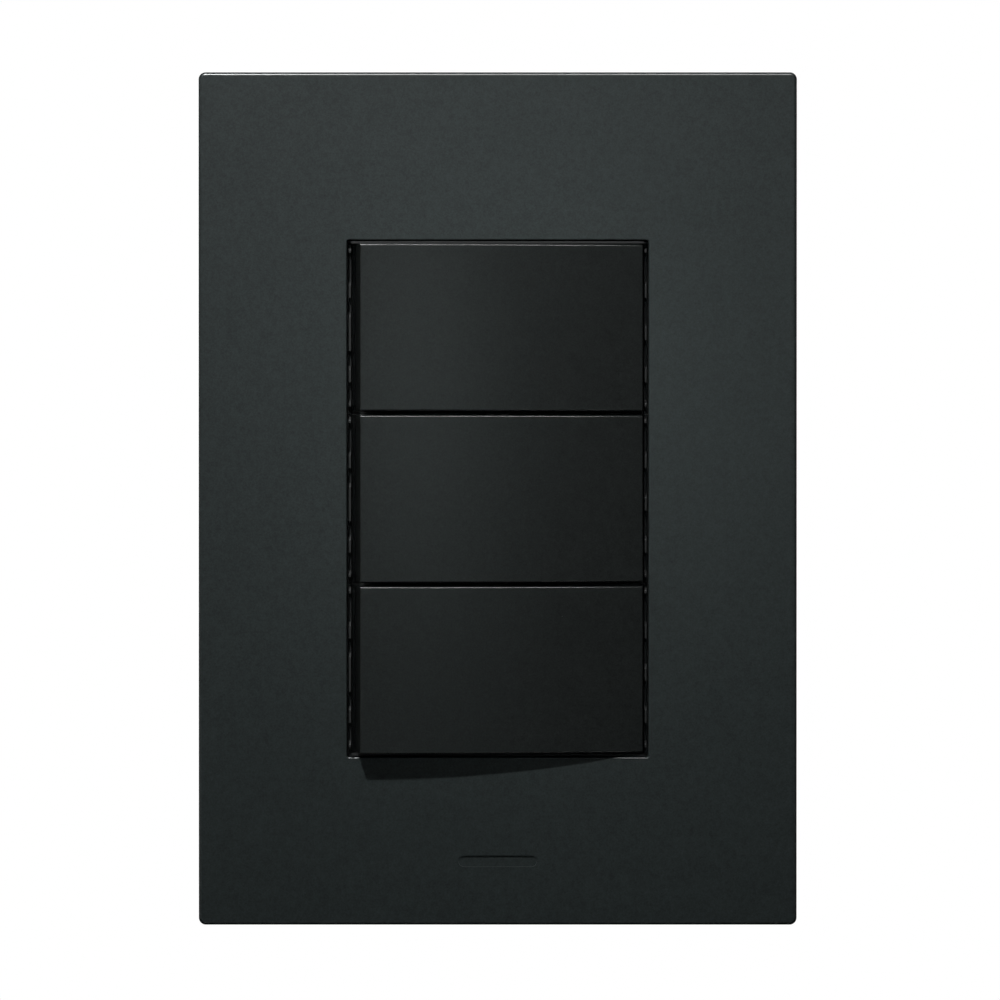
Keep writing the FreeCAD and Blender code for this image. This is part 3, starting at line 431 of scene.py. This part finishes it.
def spring_mesh():
    """A coil of round wire about Y."""
    curve = bpy.data.curves.new("coil", "CURVE")
    curve.dimensions = "3D"
    curve.bevel_depth = SPRING_WIRE_R
    curve.bevel_resolution = 3
    curve.use_fill_caps = True
    line = curve.splines.new("POLY")
    count = SPRING_TURNS * SPRING_POINTS
    line.points.add(count)
    for step, point in enumerate(line.points):
        turn = 2 * math.pi * step / SPRING_POINTS
        y = SPRING_START + SPRING_LENGTH * step / count
        point.co = (SPRING_R * math.cos(turn), y, SPRING_R * math.sin(turn), 1.0)
    helper = bpy.data.objects.new("coil", curve)
    scene.collection.objects.link(helper)
    data = bpy.data.meshes.new_from_object(helper.evaluated_get(bpy.context.evaluated_depsgraph_get()))
    bpy.data.objects.remove(helper)
    data.polygons.foreach_set("use_smooth", [True] * len(data.polygons))
    return data


def plunger_springs():
    """A spring in each rocker, which moves with the rocker."""
    data = spring_mesh()
    for place in PLACES:
        spring = on_rocker(data, place, f"{place}_plunger_spring", "spring")
        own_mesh(spring)


# ---------------------------------------------------------------------- studio


def area_light(name, place, size, power, aim=(0, 0, 0), colour=(1, 1, 1), height=None, gloss_only=False,
               hidden=False):
    """An area light that faces a point: round, or a strip where it has a height."""
    data = bpy.data.lights.new(name, "AREA")
    data.shape = "RECTANGLE" if height else "DISK"
    data.size = size
    data.size_y = height or size
    data.energy = power
    data.color = colour
    made = bpy.data.objects.new(name, data)
    made.location = place
    made.rotation_mode = "QUATERNION"
    made.rotation_quaternion = (Vector(aim) - Vector(place)).to_track_quat("-Z", "Y")
    made.visible_diffuse = not gloss_only
    made.visible_camera = not hidden
    scene.collection.objects.link(made)
    return made


FLOOR_Z = -0.22
FLOOR_RADIUS = 1.2
FLOOR_FADE = (0.35, 1.1)  # from the middle: where the floor starts and ends its fade into the white


def pale_floor():
    """A round pale floor under the object that fades into the white beyond it."""
    bpy.ops.mesh.primitive_circle_add(vertices=96, radius=FLOOR_RADIUS, fill_type="NGON",
                                      location=(0, 0, FLOOR_Z))
    floor = bpy.context.object
    floor.name = "floor"
    s = Surface("pale_floor")
    s.set(Base_Color=(0.86, 0.86, 0.86, 1.0), Roughness=0.8)
    distance = s.node("ShaderNodeVectorMath", operation="LENGTH")
    s.put(distance.inputs[0], s.place)
    s.set(Alpha=s.remap(distance.outputs["Value"], *FLOOR_FADE, 1.0, 0.0))
    floor.data.materials.append(s.material)
    floor.visible_diffuse = False
    floor.visible_glossy = False
    return floor


def white_world():
    """White to the camera, and no light on the object."""
    world = bpy.data.worlds.new("white")
    world.use_nodes = True
    world.node_tree.nodes["Background"].inputs["Color"].default_value = (1, 1, 1, 1)
    world.cycles_visibility.diffuse = False
    world.cycles_visibility.glossy = False
    world.cycles_visibility.transmission = False
    scene.world = world


CAMERA_DISTANCE = 0.55  # from the plate's face
PIXELS_PER_METRE = 7109
SENSOR = 36.0
IMAGE = 1000
ELEVATION = math.radians(0.3)
AIM_OFFSET = (0.32 * MM, -0.18 * MM)


def place_camera():
    """The camera looks almost square at the plate, a little above its middle."""
    low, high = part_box("cover_plate")
    face = Vector(((low.x + high.x) / 2 + AIM_OFFSET[0], low.y, (low.z + high.z) / 2 + AIM_OFFSET[1]))
    back = Vector((0, -math.cos(ELEVATION), math.sin(ELEVATION)))
    data = bpy.data.cameras.new("camera")
    data.sensor_width = SENSOR
    data.lens = PIXELS_PER_METRE * SENSOR * CAMERA_DISTANCE / IMAGE
    data.clip_start = 0.01
    camera = bpy.data.objects.new("camera", data)
    camera.location = face + back * CAMERA_DISTANCE
    camera.rotation_mode = "QUATERNION"
    camera.rotation_quaternion = (-back).to_track_quat("-Z", "Y")
    scene.collection.objects.link(camera)
    scene.camera = camera


STRIP_HEIGHT = 0.03
PANEL_SIZE = 0.9
PANELS = (("panel_left", -0.95, 0.9), ("panel_right", 1.1, 0.45))  # name, x, power
BACK_LIGHTS = (("back_left", -0.30, 0.35, 2.2), ("back_right", 0.35, 0.05, 1.3),
               ("behind", 0.0, 0.02, 5.5))  # name, x, z, power


def studio():
    """Floor, backdrop and lights."""
    floor = pale_floor()
    white_world()
    area_light("key", (-0.0858, -0.2735, 0.2870), 0.024, 1.18, colour=(0.97, 1.0, 1.0))
    area_light("front", (0.008, -0.522, 0.033), 0.04, 0.0577, colour=(0.85, 1.02, 1.02), hidden=True)
    area_light("fill", (0.25, -0.9, 0.3), 0.8, 0.05)
    area_light("strip", (-0.04, -0.38, 0.46), 0.4, 3.2, height=STRIP_HEIGHT, gloss_only=True)
    area_light("low_strip", (0.0, -0.42, -0.42), 0.4, 0.4, height=STRIP_HEIGHT, gloss_only=True)
    for name, x, power in PANELS:
        area_light(name, (x, -0.65, 0.1), PANEL_SIZE, power, gloss_only=True, hidden=True)
    for name, x, z, power in BACK_LIGHTS:
        area_light(name, (x, 0.9, z), PANEL_SIZE, power, aim=(0, 0.02, 0), hidden=True)
    overhead = area_light("overhead", (0, 0, 1.2), 1.6, 60.0)
    lit = bpy.data.collections.new("lit_by_overhead")
    lit.objects.link(floor)
    overhead.light_linking.receiver_collection = lit


dress_nodes()
rocker_caps()
plunger_springs()
studio()
place_camera()
scene.view_settings.view_transform = "Standard"
